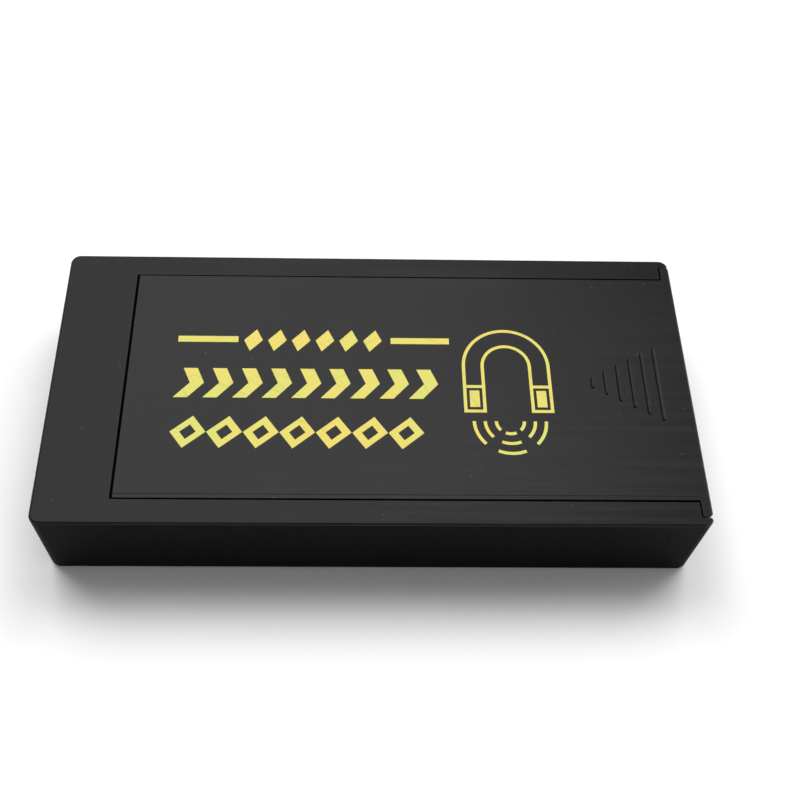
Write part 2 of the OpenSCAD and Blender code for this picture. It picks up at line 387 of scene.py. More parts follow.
@dataclass(frozen=True)
class MouldedPlastic(FinishRecipe):
    """Black styrenic plastic as it leaves the mould."""

    colour: Colour
    roughness: float
    grain_depth: float
    grain_scale: float = 2600.0
    specular: float = 0.5
    deep_share: float = 0.72
    tone_contrast: float = 0.5
    scratch_amount: float = 0.22
    scratch_scale: float = 130.0
    dust_amount: float = 0.2
    rub_amount: float = 0.4
    haze_amount: float = 0.38
    haze_colour: Colour = (0.021, 0.020, 0.020)
    dust_colour: Colour = (0.20, 0.19, 0.18)
    rub_colour: Colour = (0.045, 0.045, 0.047)
    uneven_roughness: float = 0.08
    haze_roughness: float = 0.10
    scuff_roughness: float = 0.16
    dust_roughness: float = 0.4
    scratch_height: float = -0.35
    dust_height: float = 0.6

    def mix(self, finish: FinishMaterial, effects: SharedEffects) -> None:
        """Mixes the plastic: black body, haze, rubbed edges and dust on top.

        Args:
            finish: The material to fill.
            effects: The shared node groups.
        """
        recipe = finish.recipe
        scratch = finish.mask(effects.scratches, Amount=self.scratch_amount, Scale=self.scratch_scale)
        dust = finish.mask(effects.dust, Amount=self.dust_amount)
        rub = finish.mask(effects.edge_rub, Amount=self.rub_amount)
        haze = finish.mask(effects.wipe_haze, Amount=self.haze_amount)
        mottle = finish.effect(effects.mottle, Fine_Scale=self.grain_scale)
        shade = recipe.shift(MIDDLE, mottle["Broad"], self.tone_contrast)
        deep = tuple(part * self.deep_share for part in self.colour)
        hazy = recipe.blend(haze, recipe.blend(shade, deep, self.colour), self.haze_colour)
        rubbed = recipe.blend(rub, hazy, self.rub_colour)
        finish.set(Base_Color=recipe.blend(dust, rubbed, self.dust_colour), IOR=1.5,
                   Specular_IOR_Level=self.specular)
        uneven = recipe.shift(self.roughness, mottle["Broad"], self.uneven_roughness)
        wiped = recipe.shift(uneven, haze, self.haze_roughness)
        scuffed = recipe.shift(wiped, recipe.math("ADD", scratch, rub), self.scuff_roughness)
        finish.set(Roughness=recipe.shift(scuffed, dust, self.dust_roughness))
        scored = recipe.shift(mottle["Fine"], scratch, self.scratch_height)
        finish.bump(recipe.shift(scored, dust, self.dust_height), self.grain_depth)


@dataclass(frozen=True)
class StampedFoil(FinishRecipe):
    """Hot-stamped yellow-gold foil, a little worn through."""

    name: str = "stamped_foil"
    colour: Colour = (0.755, 0.622, 0.13)
    cool: Colour = (0.655, 0.655, 0.15)
    under: Colour = (0.16, 0.12, 0.02)
    tone_reach: float = 0.16
    scratch_wear: float = 0.4
    roughness: float = 0.34
    grain_roughness: float = 0.18
    relief: float = 0.008 * MM

    def mix(self, finish: FinishMaterial, effects: SharedEffects) -> None:
        """Mixes the foil: two golds that drift into each other, worn to the plastic.

        Args:
            finish: The material to fill.
            effects: The shared node groups.
        """
        recipe = finish.recipe
        scratch = finish.mask(effects.scratches, Amount=0.35, Scale=90.0, Turn=0.8)
        pin_holes = finish.mask(effects.dust, Amount=0.7, Scale=2400.0, Size=0.2)
        mottle = finish.effect(effects.mottle, Broad_Scale=70.0, Fine_Scale=5200.0)
        tone = recipe.ramp(mottle["Broad"], -self.tone_reach, self.tone_reach)
        face = recipe.blend(tone, self.colour, self.cool)
        worn = recipe.math("MAXIMUM", recipe.times(scratch, self.scratch_wear), pin_holes)
        finish.set(Base_Color=recipe.blend(worn, face, self.under), IOR=1.5)
        finish.set(Roughness=recipe.shift(self.roughness, mottle["Fine"], self.grain_roughness))
        finish.bump(recipe.math("SUBTRACT", mottle["Fine"], worn), self.relief)


@dataclass(frozen=True)
class SinteredFerrite(FinishRecipe):
    """Pressed and ground ferrite, grey-black with pale bruised edges."""

    name: str = "ground_ferrite"
    colour: Colour = (0.028, 0.027, 0.027)
    grain: Colour = (0.062, 0.060, 0.060)
    bruise: Colour = (0.16, 0.155, 0.15)
    speckle: tuple[float, float] = (-0.12, 0.16)
    ground_share: float = 0.5
    roughness: float = 0.52
    uneven_roughness: float = 0.22
    ground_height: float = -0.5
    relief: float = 0.03 * MM

    def mix(self, finish: FinishMaterial, effects: SharedEffects) -> None:
        """Mixes the ferrite: speckled grain, grinding marks, bruises and pits.

        Args:
            finish: The material to fill.
            effects: The shared node groups.
        """
        recipe = finish.recipe
        ground = finish.mask(effects.scratches, Amount=0.8, Scale=120.0, Turn=0.2)
        rub = finish.mask(effects.edge_rub, Amount=0.9, Width=0.45 * MM, Break_Scale=900.0)
        mottle = finish.effect(effects.mottle, Broad_Scale=160.0, Fine_Scale=3800.0)
        pits = finish.mask(effects.dust, Amount=1.0, Scale=1500.0, Size=0.22)
        body = recipe.blend(recipe.ramp(mottle["Fine"], *self.speckle), self.colour, self.grain)
        lit = recipe.blend(recipe.times(ground, self.ground_share), body, self.bruise)
        finish.set(Base_Color=recipe.blend(rub, lit, self.bruise), IOR=1.9)
        finish.set(Roughness=recipe.shift(self.roughness, mottle["Broad"], self.uneven_roughness))
        relief = recipe.shift(mottle["Fine"], ground, self.ground_height)
        finish.bump(recipe.math("SUBTRACT", relief, recipe.math("ADD", pits, rub)), self.relief)


@dataclass(frozen=True)
class ZincSteel(FinishRecipe):
    """Cold-rolled steel sheet with bright zinc plating."""

    name: str = "zinc_plated_steel"
    colour: Colour = (0.60, 0.61, 0.63)
    stain: Colour = (0.42, 0.43, 0.45)
    stain_share: float = 0.45
    stain_contrast: float = 1.4
    roughness: float = 0.30
    rolled_roughness: float = 0.18
    uneven_roughness: float = 0.2
    rolled_height: float = -0.5
    relief: float = 0.01 * MM

    def mix(self, finish: FinishMaterial, effects: SharedEffects) -> None:
        """Mixes the steel: clouded plating over rolling marks.

        Args:
            finish: The material to fill.
            effects: The shared node groups.
        """
        recipe = finish.recipe
        rolled = finish.mask(effects.scratches, Amount=0.7, Scale=80.0, Turn=1.2)
        rub = finish.mask(effects.edge_rub, Amount=0.6)
        mottle = finish.effect(effects.mottle, Broad_Scale=90.0, Fine_Scale=3000.0)
        cloud = recipe.shift(self.stain_share, mottle["Broad"], self.stain_contrast)
        finish.set(Base_Color=recipe.blend(cloud, self.colour, self.stain), Metallic=1.0)
        dull = recipe.shift(self.roughness, recipe.math("ADD", rolled, rub), self.rolled_roughness)
        finish.set(Roughness=recipe.shift(dull, mottle["Broad"], self.uneven_roughness))
        finish.bump(recipe.shift(mottle["Fine"], rolled, self.rolled_height), self.relief)


@dataclass(frozen=True)
class CuredGlue(FinishRecipe):
    """Amber contact adhesive, uneven and slightly glossy."""

    name: str = "cured_glue"
    colour: Colour = (0.52, 0.40, 0.19)
    thick: Colour = (0.36, 0.25, 0.09)
    thick_contrast: float = 1.6
    roughness: float = 0.34
    grain_roughness: float = 0.4
    relief: float = 0.06 * MM

    def mix(self, finish: FinishMaterial, effects: SharedEffects) -> None:
        """Mixes the glue: thin and thick patches with grit in them.

        Args:
            finish: The material to fill.
            effects: The shared node groups.
        """
        recipe = finish.recipe
        mottle = finish.effect(effects.mottle, Broad_Scale=220.0, Fine_Scale=900.0)
        dust = finish.mask(effects.dust, Amount=0.8, Scale=900.0)
        cloud = recipe.shift(MIDDLE, mottle["Broad"], self.thick_contrast)
        finish.set(Base_Color=recipe.blend(cloud, self.colour, self.thick), IOR=1.47)
        finish.set(Roughness=recipe.shift(self.roughness, mottle["Fine"], self.grain_roughness))
        finish.bump(recipe.math("ADD", mottle["Fine"], dust), self.relief)


@dataclass(frozen=True)
class StudioPaper(FinishRecipe):
    """White seamless paper under the box, open from below so that the underside shows.

    It also opens to what starts closer than near_gap above it, which lights
    the base of the box from below, and fades into the backdrop far out.
    """

    name: str = "studio_paper"
    colour: Colour = (0.95, 0.95, 0.95)
    pale: Colour = (0.9595, 0.9595, 0.9595)
    mottle_share: float = 0.02
    near_gap: float = 0.45 * MM
    fade_start: float = 100.0 * MM
    fade_end: float = 450.0 * MM

    def mix(self, finish: FinishMaterial, effects: SharedEffects) -> None:
        """Mixes the paper, and opens it from below, close by and far out.

        Args:
            finish: The material to fill.
            effects: The shared node groups.
        """
        recipe = finish.recipe
        mottle = finish.effect(effects.mottle, Broad_Scale=3.0, Fine_Scale=700.0)
        shade = recipe.shift(MIDDLE, mottle["Fine"], self.mottle_share)
        finish.set(Base_Color=recipe.blend(shade, self.colour, self.pale), Roughness=0.9,
                   Specular_IOR_Level=0.1)
        path = recipe.add("ShaderNodeLightPath")
        beneath = recipe.add("ShaderNodeNewGeometry").outputs["Backfacing"]
        near = recipe.math("LESS_THAN", path.outputs["Ray Length"], self.near_gap)
        reach = recipe.vector("LENGTH", finish.place, output=1)
        far = recipe.ramp(reach, self.fade_start, self.fade_end)
        finish.open_where(recipe.math("MAXIMUM", recipe.math("MAXIMUM", beneath, near), far))


class Finish(Enum):
    """The finishes of the box, by the place they are used."""

    CASE = MouldedPlastic("case_plastic", (0.0055, 0.0053, 0.0058), 0.20, 0.004 * MM, specular=0.47)
    # Painted shade: the same plastic as the case, made darker and duller so that the side walls render as
    # dark as walls in shade.
    SHADED_SIDE = MouldedPlastic("case_side_painted_shade", (0.0031, 0.0031, 0.0034), 0.55, 0.010 * MM,
                          specular=0.035, haze_amount=0.06)
    LID = MouldedPlastic("lid_plastic", (0.0075, 0.0073, 0.0076), 0.16, 0.003 * MM, specular=0.54)
    INNER = MouldedPlastic("inner_plastic", (0.0085, 0.0085, 0.0090), 0.46, 0.012 * MM,
                           grain_scale=4200.0, dust_amount=0.5)
    FOIL = StampedFoil()
    FERRITE = SinteredFerrite()
    STEEL = ZincSteel()
    GLUE = CuredGlue()
    PAPER = StudioPaper()


class PaintShop:
    """Builds each finish once and hands it out."""

    def __init__(self) -> None:
        """Builds the shared effects and starts with no finishes."""
        self.effects = SharedEffects()
        self.made: dict[Finish, Material] = {}

    def __getitem__(self, finish: Finish) -> Material:
        """Gives a finish's material.

        Args:
            finish: The finish wanted.

        Returns:
            Its material, built on first use.
        """
        if finish not in self.made:
            self.made[finish] = finish.value.build(self.effects)
        return self.made[finish]

    def pick(self, *finishes: Finish) -> list[Material]:
        """Gives the materials of some finishes, in order."""
        return [self[finish] for finish in finishes]


# ---- Mesh helpers --------------------------------------------------------


def dress(mesh: Mesh, materials: Iterable[Material]) -> None:
    """Gives a mesh these materials in place of its own.

    Args:
        mesh: The mesh.
        materials: Materials for its slots, in order.
    """
    mesh.materials.clear()
    for material in materials:
        mesh.materials.append(material)


def mesh_object(name: str, mesh: Mesh, materials: Sequence[Material] = ()) -> Object:
    """Puts a mesh into the scene.

    Args:
        name: Name of the piece.
        mesh: Its mesh, in place.
        materials: Materials for its slots; none keeps the mesh's own.

    Returns:
        The new object, at the origin.
    """
    piece = bpy.data.objects.new(name, mesh)
    bpy.context.scene.collection.objects.link(piece)
    if materials:
        dress(mesh, materials)
    return piece


def shade_by_area(mesh: Mesh) -> None:
    """Shades a moulding so that its broad faces stay level beside rounded edges.

    Each corner's normal is the mean of the faces around it that bend away by
    less than the smoothing angle, weighed by their areas.

    Args:
        mesh: The mesh to shade.
    """
    around: list[list[MeshPolygon]] = [[] for _ in mesh.vertices]
    for face in mesh.polygons:
        for vertex in face.vertices:
            around[vertex].append(face)
    least = math.cos(SMOOTH_ANGLE)
    normals = [Vector()] * len(mesh.loops)
    for face in mesh.polygons:
        for loop, vertex in zip(face.loop_indices, face.vertices):
            near = (other for other in around[vertex] if other.normal.dot(face.normal) > least)
            normals[loop] = sum((other.normal * other.area for other in near), Vector()).normalized()
    mesh.shade_smooth()
    mesh.normals_split_custom_set(normals)


@dataclass(frozen=True)
class EdgeSoftener:
    """Rounds the long sharp edges of a moulding, as a mould tool does."""

    radius: float = 0.07 * MM
    least_length: float = 2.0 * MM
    least_face: float = 0.35 * MM
    least_angle: float = math.radians(40)
    steps: int = 3
    profile: float = 0.5

    def wide(self, face: BMFace, edge: BMEdge) -> bool:
        """Says whether a face's mean width across an edge is enough to cut it back."""
        return face.calc_area() / max(edge.calc_length(), self.least_length) > self.least_face

    def soften(self, bm: BMesh) -> int:
        """Rounds the edges in place.

        Args:
            bm: The merged mesh.

        Returns:
            How many edges were rounded.
        """
        chosen = [
            edge for edge in bm.edges
            if edge.is_manifold and edge.calc_length() > self.least_length
            and edge.calc_face_angle() > self.least_angle
            and all(self.wide(face, edge) for face in edge.link_faces)
        ]
        bmesh.ops.bevel(bm, geom=chosen, offset=self.radius, offset_type="OFFSET", segments=self.steps,
                        profile=self.profile, affect="EDGES", clamp_overlap=False, miter_outer="ARC")
        return len(chosen)


def moulding(node: str, name: str, softener: EdgeSoftener) -> Object:
    """Copies a CAD node as one joined mesh with soft edges.

    Args:
        node: The CAD node to copy.
        name: Name of the new piece.
        softener: How its edges are rounded.

    Returns:
        The new piece, which stands for the node.
    """
    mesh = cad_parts[node].data.copy()
    mesh.name = name
    bm = bmesh.new()
    bm.from_mesh(mesh)
    bmesh.ops.remove_doubles(bm, verts=bm.verts, dist=MERGE_DISTANCE)
    bmesh.ops.dissolve_limit(bm, angle_limit=FLAT_ANGLE, verts=bm.verts, edges=bm.edges)
    rounded = softener.soften(bm)
    bm.to_mesh(mesh)
    bm.free()
    shade_by_area(mesh)
    piece = mesh_object(name, mesh)
    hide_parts(node)
    log.info("%s: %d edges rounded, %d faces", name, rounded, len(mesh.polygons))
    return piece


def paint_faces(mesh: Mesh, materials: Sequence[Material],
                choose: Callable[[Vector, Vector], int]) -> None:
    """Gives each face of a moulding a finish by where it lies, with the side walls in a darker, duller
    copy of the plastic that paints their shade.

    Args:
        mesh: The moulding.
        materials: The finishes.
        choose: Gives a finish's place by a face's centre and normal.
    """
    dress(mesh, materials)
    for face in mesh.polygons:
        face.material_index = choose(face.center, face.normal)


# ---- Repeated motifs -----------------------------------------------------


class Motif(Enum):
    """Shapes that a field of motifs can repeat."""

    LOZENGE = 0
    CHEVRON = 1
    DISC = 2


@dataclass(frozen=True)
class MotifField:
    """A grid of thin flat motifs, raised from a surface."""

    name: str
    motif: Motif
    centre: Point2
    base: float
    thickness: float
    columns: int
    pitch: float
    width: float
    height: float
    rows: int = 1
    row_pitch: float = 0.0
    opening: float = 0.0
    slant: float = 0.0

    def values(self, material: Material) -> dict[str, object]:
        """Gives the tree's input values by name, with the material among them."""
        return {
            "Motif": self.motif.value, "Columns": self.columns, "Rows": self.rows,
            "Pitch": self.pitch, "Row Pitch": self.row_pitch, "Width": self.width,
            "Height": self.height, "Opening": self.opening, "Slant": self.slant,
            "Centre": Vector((*self.centre, self.base)), "Thickness": self.thickness,
            "Material": material,
        }


class MotifPress:
    """The Geometry Nodes tree that lays out, cuts and raises a field of motifs."""

    SOCKETS = {
        "Int": ("Motif", "Columns", "Rows"),
        "Float": ("Pitch", "Row Pitch", "Width", "Height", "Opening", "Slant", "Thickness"),
        "Vector": ("Centre",),
        "Material": ("Material",),
    }
    CHEVRON_BAR = 0.55  # shares of a motif's width
    CHEVRON_NOSE = 0.45
    DISC_POINTS = 40
    LEAST_OPENING = 0.01

    def __init__(self) -> None:
        """Builds the tree."""
        self.tree = bpy.data.node_groups.new("motif_field", "GeometryNodeTree")
        self.tree.interface.new_socket("Geometry", in_out="INPUT", socket_type="NodeSocketGeometry")
        for kind, labels in self.SOCKETS.items():
            for label in labels:
                self.tree.interface.new_socket(label, in_out="INPUT", socket_type="NodeSocket" + kind)
        self.tree.interface.new_socket("Geometry", in_out="OUTPUT", socket_type="NodeSocketGeometry")
        self.recipe = Recipe(self.tree)
        self.given = self.recipe.add("NodeGroupInput").outputs
        self._finish(self._raise(self._lay_out(self._cut(self._outline()))))

    def _node(self, kind: str, inputs: Optional[dict] = None, **settings: object) -> NodeSocket:
        """Adds a geometry node and gives its first output."""
        return self.recipe.add("GeometryNode" + kind, inputs, **settings).outputs[0]

    def _moved(self, geometry: NodeSocket, offset: dict[int, Value]) -> NodeSocket:
        """Moves a geometry's points by what is given for X, Y and Z, as 0, 1 and 2."""
        move = self.recipe.add("ShaderNodeCombineXYZ", offset).outputs[0]
        return self._node("SetPosition", {"Geometry": geometry, "Offset": move})

    def _across(self) -> NodeSocket:
        """Gives each point's Y."""
        position = self._node("InputPosition")
        return self.recipe.add("ShaderNodeSeparateXYZ", {0: position}).outputs[1]

    def _span(self, count: str, pitch: str) -> NodeSocket:
        """Gives the length from the first to the last of so many motifs."""
        gaps = self.recipe.math("SUBTRACT", self.given[count], 1.0)
        return self.recipe.times(gaps, self.given[pitch])

    def _join(self, *parts: NodeSocket) -> NodeSocket:
        """Joins geometries into one.

        Args:
            *parts: The geometries.

        Returns:
            The joined geometry.
        """
        joined = self.recipe.add("GeometryNodeJoinGeometry")
        for part in parts:
            self.recipe.feed(joined.inputs[0], part)
        return joined.outputs[0]

    def _outline(self) -> NodeSocket:
        """Draws the outline of the chosen motif.

        Returns:
            The closed curve.
        """
        recipe, given = self.recipe, self.given
        half = recipe.math("DIVIDE", given["Height"], 2.0)
        kite = self._node("CurvePrimitiveQuadrilateral", {
            "Width": given["Width"], "Bottom Height": half, "Top Height": half}, mode="KITE")
        bar = self._node("CurvePrimitiveQuadrilateral", {
            "Width": recipe.times(given["Width"], self.CHEVRON_BAR), "Height": given["Height"],
        }, mode="RECTANGLE")
        halved = self._node("SubdivideCurve", {"Curve": bar, "Cuts": 1})
        rise = recipe.math("DIVIDE", recipe.math("ABSOLUTE", self._across()), half)
        nose = recipe.times(recipe.math("SUBTRACT", 1.0, rise), given["Width"])
        chevron = self._moved(halved, {0: recipe.times(nose, self.CHEVRON_NOSE)})
        disc = self._node("CurvePrimitiveCircle", {
            "Resolution": self.DISC_POINTS, "Radius": recipe.math("DIVIDE", given["Width"], 2.0)})
        choice = recipe.add("GeometryNodeIndexSwitch", data_type="GEOMETRY")
        choice.index_switch_items.new()
        for item, value in enumerate((given["Motif"], kite, chevron, disc)):
            recipe.feed(choice.inputs[item], value)
        return choice.outputs[0]

    def _cut(self, outline: NodeSocket) -> NodeSocket:
        """Fills the outline, with its opening left out.

        Args:
            outline: The motif's outline.

        Returns:
            The flat motif.
        """
        recipe, given = self.recipe, self.given
        scale = recipe.add("ShaderNodeCombineXYZ", {0: given["Opening"], 1: given["Opening"], 2: 1.0})
        inner = self._node("Transform", {"Geometry": outline, "Scale": scale.outputs[0]})
        is_open = recipe.math("GREATER_THAN", given["Opening"], self.LEAST_OPENING)
        kept = self._node("Switch", {0: is_open, 2: inner}, input_type="GEOMETRY")
        return self._node("FillCurve", {0: self._join(kept, outline)}, mode="TRIANGLES")

    def _lay_out(self, motif: NodeSocket) -> NodeSocket:
        """Repeats the motif over the grid and leans it.

        Args:
            motif: The flat motif.

        Returns:
            The flat field, in place.
        """
        given = self.given
        grid = self._node("MeshGrid", {
            "Size X": self._span("Columns", "Pitch"), "Size Y": self._span("Rows", "Row Pitch"),
            "Vertices X": given["Columns"], "Vertices Y": given["Rows"]})
        copies = self._node("InstanceOnPoints", {"Points": grid, "Instance": motif})
        solid = self._node("RealizeInstances", {0: copies})
        leaned = self._moved(solid, {0: self.recipe.times(self._across(), given["Slant"])})
        return self._node("Transform", {"Geometry": leaned, "Translation": given["Centre"]})

    def _raise(self, flat: NodeSocket) -> NodeSocket:
        """Gives the flat field its thickness, closed below.

        Args:
            flat: The flat field.

        Returns:
            The closed solids.
        """
        up = self.recipe.add("ShaderNodeCombineXYZ", {2: self.given["Thickness"]}).outputs[0]
        top = self._node("ExtrudeMesh", {
            "Mesh": flat, "Offset": up, "Offset Scale": 1.0, "Individual": False}, mode="FACES")
        both = self._join(top, self._node("FlipFaces", {0: flat}))
        return self._node("MergeByDistance", {"Geometry": both, "Distance": MERGE_DISTANCE})

    def _finish(self, solids: NodeSocket) -> None:
        """Makes the solids real, gives them their finish and puts them out.

        Args:
            solids: The closed solids.
        """
        real = self._node("RealizeInstances", {0: solids})
        finished = self._node("SetMaterial", {"Geometry": real, "Material": self.given["Material"]})
        self.recipe.add("NodeGroupOutput", {0: finished})

    def press(self, motifs: MotifField, material: Material) -> Object:
        """Runs the tree and keeps its result as a plain mesh.

        Args:
            motifs: The field to make.
            material: Its finish.

        Returns:
            The new piece, in place, with no modifier.
        """
        seed = mesh_object(motifs.name + ".seed", bpy.data.meshes.new(motifs.name + ".seed"))
        modifier = seed.modifiers.new("motifs", "NODES")
        modifier.node_group = self.tree
        identifiers = {
            item.name: item.identifier for item in self.tree.interface.items_tree
            if item.in_out == "INPUT"
        }
        for label, value in motifs.values(material).items():
            modifier[identifiers[label]] = value
        graph = bpy.context.evaluated_depsgraph_get()
        mesh = bpy.data.meshes.new_from_object(seed.evaluated_get(graph))
        mesh.name = motifs.name
        bpy.data.objects.remove(seed)
        log.info("%s: %d faces", motifs.name, len(mesh.polygons))
        return mesh_object(motifs.name, mesh, [material])


@dataclass(frozen=True)
class EjectorMarks:
    """The rings that the mould's ejector pins leave on a face."""

    centre: Point2
    pitch: float
    row_pitch: float
    width: float
    opening: float
    columns: int = 4
    rows: int = 2
    thickness: float = 0.04 * MM

    def layout(self, name: str, level: float) -> MotifField:
        """Lays the rings out as a field that is half sunk into a face at that level."""
        return MotifField(name, Motif.DISC, self.centre, level - self.thickness / 2, self.thickness,
                          self.columns, self.pitch, self.width, self.width, self.rows, self.row_pitch,
                          self.opening)


# ---- Drawn foil ----------------------------------------------------------


class FoilSheet:
    """Thin closed prisms cut from foil, gathered into one mesh."""

    def __init__(self, base: float, thickness: float) -> None:
        """Starts an empty sheet over the level of its underside."""
        self.bm = bmesh.new()
        self.levels = (base, base + thickness)

    def _ring(self, outline: Sequence[Point2], level: float) -> list[BMVert]:
        """Adds an outline's points at one level."""
        return [self.bm.verts.new((x, y, level)) for x, y in outline]

    def _walls(self, low: Sequence[BMVert], high: Sequence[BMVert]) -> None:
        """Joins two rings of points with upright faces.

        Args:
            low: Points of the lower ring.
            high: Points of the upper ring, each over its lower one.
        """
        for i in range(len(low)):
            j = (i + 1) % len(low)
            self.bm.faces.new((low[i], low[j], high[j], high[i]))

    def patch(self, outline: Sequence[Point2]) -> None:
        """Adds a filled shape.

        Args:
            outline: Its corners, counter-clockwise.
        """
        low, high = (self._ring(outline, level) for level in self.levels)
        self.bm.faces.new(high)
        self.bm.faces.new(low[::-1])
        self._walls(low, high)

    def band(self, outer: Sequence[Point2], inner: Sequence[Point2]) -> None:
        """Adds the band between two outlines with as many points.

        Args:
            outer: Outer outline, counter-clockwise.
            inner: Inner outline, point by point opposite the outer one.
        """
        outer_low, outer_high = (self._ring(outer, level) for level in self.levels)
        inner_low, inner_high = (self._ring(inner, level) for level in self.levels)
        for i in range(len(outer)):
            j = (i + 1) % len(outer)
            self.bm.faces.new((outer_high[i], outer_high[j], inner_high[j], inner_high[i]))
            self.bm.faces.new((inner_low[i], inner_low[j], outer_low[j], outer_low[i]))
        self._walls(outer_low, outer_high)
        self._walls(inner_low[::-1], inner_high[::-1])

    def piece(self, name: str, material: Material) -> Object:
        """Turns the sheet into a piece.

        Args:
            name: Name of the piece.
            material: Its finish.

        Returns:
            The new piece.
        """
        mesh = bpy.data.meshes.new(name)
        self.bm.to_mesh(mesh)
        self.bm.free()
        log.info("%s: %d faces", name, len(mesh.polygons))
        return mesh_object(name, mesh, [material])


def rectangle(low: Point2, high: Point2) -> list[Point2]:
    """Gives the corners of an upright rectangle, counter-clockwise."""
    return [low, (high[0], low[1]), high, (low[0], high[1])]


def arc_points(centre: Point2, radius: float, start: float, end: float, steps: int) -> list[Point2]:
    """Gives points on an arc between two angles in degrees, both ends among them."""
    angles = [math.radians(start + (end - start) * i / steps) for i in range(steps + 1)]
    return [(centre[0] + radius * math.cos(a), centre[1] + radius * math.sin(a)) for a in angles]


@dataclass(frozen=True)
class HorseshoeSign:
    """A plain horseshoe magnet with its field, drawn in foil lines."""

    centre: Point2 = (20.6 * MM, 2.9 * MM)
    outer_radius: float = 6.8 * MM
    inner_radius: float = 3.4 * MM
    leg: float = 8.2 * MM
    line: float = 0.5 * MM
    pole: float = 2.9 * MM
    pole_inset: float = 0.95 * MM
    arc_steps: int = 28
    field_gap: float = 1.5 * MM
    field_step: float = 1.65 * MM
    field_lines: int = 3
    field_first: float = 0.62  # share of the inner radius
    field_dashes: int = 3
    dash_parts: int = 2
    gap_parts: int = 1
    dash_steps: int = 8

    def horseshoe(self, inset: float) -> list[Point2]:
        """Outlines the horseshoe.

        Args:
            inset: Distance inwards from its outer outline.

        Returns:
            The outline, counter-clockwise.
        """
        x, y = self.centre
        foot = y - self.leg + inset
        outer = self.outer_radius - inset
        inner = self.inner_radius + inset
        over = arc_points(self.centre, outer, 0, 180, self.arc_steps)
        under = arc_points(self.centre, inner, 180, 0, self.arc_steps)
        return [(x + outer, foot), *over, (x - outer, foot), (x - inner, foot), *under, (x + inner, foot)]

    def _leg_span(self, side: int, inset: float) -> list[float]:
        """Gives the left and right edge of the leg on one side, each drawn in by the inset."""
        x = self.centre[0]
        return sorted((x + side * (self.inner_radius + inset), x + side * (self.outer_radius - inset)))

    def draw(self, sheet: FoilSheet) -> None:
        """Cuts the sign from a sheet of foil.

        Args:
            sheet: The sheet to add it to.
        """
        sheet.band(self.horseshoe(0.0), self.horseshoe(self.line))
        foot = self.centre[1] - self.leg + self.pole_inset
        bar = foot + self.pole + self.pole_inset - self.line
        fills = ((self.pole_inset, foot, self.pole), (self.line, bar, self.line))
        for side in (-1, 1):
            for inset, level, depth in fills:
                left, right = self._leg_span(side, inset)
                sheet.patch(rectangle((left, level), (right, level + depth)))
        self._draw_field(sheet)

    def _draw_field(self, sheet: FoilSheet) -> None:
        """Cuts the dashed field lines under the poles.

        Args:
            sheet: The sheet to add them to.
        """
        middle = (self.centre[0], self.centre[1] - self.leg - self.field_gap)
        parts = self.dash_parts + self.gap_parts
        part = 180.0 / (self.field_dashes * parts - self.gap_parts)
        for ring in range(self.field_lines):
            radius = self.inner_radius * self.field_first + ring * self.field_step
            for dash in range(self.field_dashes):
                first = 180.0 + dash * parts * part
                last = first + self.dash_parts * part
                outer = arc_points(middle, radius + self.line / 2, first, last, self.dash_steps)
                inner = arc_points(middle, radius - self.line / 2, last, first, self.dash_steps)
                sheet.patch(outer + inner)


# ---- The box -------------------------------------------------------------


@dataclass
class Case:
    """The moulded case with its deck, rails and magnet pockets."""

    shop: PaintShop
    press: MotifPress
    floor_level: float = 1.8 * MM
    level_slack: float = 0.01 * MM
    deck_skin: float = 0.6 * MM
    wall: float = 1.6 * MM
    end: float = 1.8 * MM
    outer_share: float = 0.6  # of a wall's thickness
    wall_lean: float = 0.5  # largest rise of a side wall's normal
    pins: EjectorMarks = EjectorMarks(
        (0.0, 0.0), pitch=30.0 * MM, row_pitch=34.4 * MM, width=3.4 * MM, opening=0.86)
    softener: EdgeSoftener = EdgeSoftener()
    low: Vector = field(init=False)
    high: Vector = field(init=False)

    def __post_init__(self) -> None:
        """Reads where the case stands."""
        self.low, self.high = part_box("case_body")

    def build(self) -> None:
        """Makes the case and the ejector marks on its floor."""
        piece = moulding("case_body", "case_moulding", self.softener)
        # The side walls take the darker, duller copy of the plastic, which paints their shade.
        paint_faces(piece.data, self.shop.pick(Finish.CASE, Finish.INNER, Finish.SHADED_SIDE), self._side)
        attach(piece, "case")
        layout = self.pins.layout("case_ejector_marks", self.floor_level)
        marks = self.press.press(layout, self.shop[Finish.INNER])
        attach(marks, "case")

    def _side(self, centre: Vector, normal: Vector) -> int:
        """Tells the top, the inside and the side walls apart.

        Args:
            centre: Centre of a face.
            normal: The way it faces.

        Returns:
            0 for the top and bottom of the case, 1 for its inside, 2 for its side walls, which get the
            copy with painted shade.
        """
        level = self.floor_level - self.level_slack < centre.z < self.high.z - self.deck_skin
        across = abs(centre.y) < self.high.y - self.outer_share * self.wall
        along = self.low.x + self.outer_share * self.end < centre.x
        return 1 if level and across and along else 2 * (abs(normal.z) < self.wall_lean)


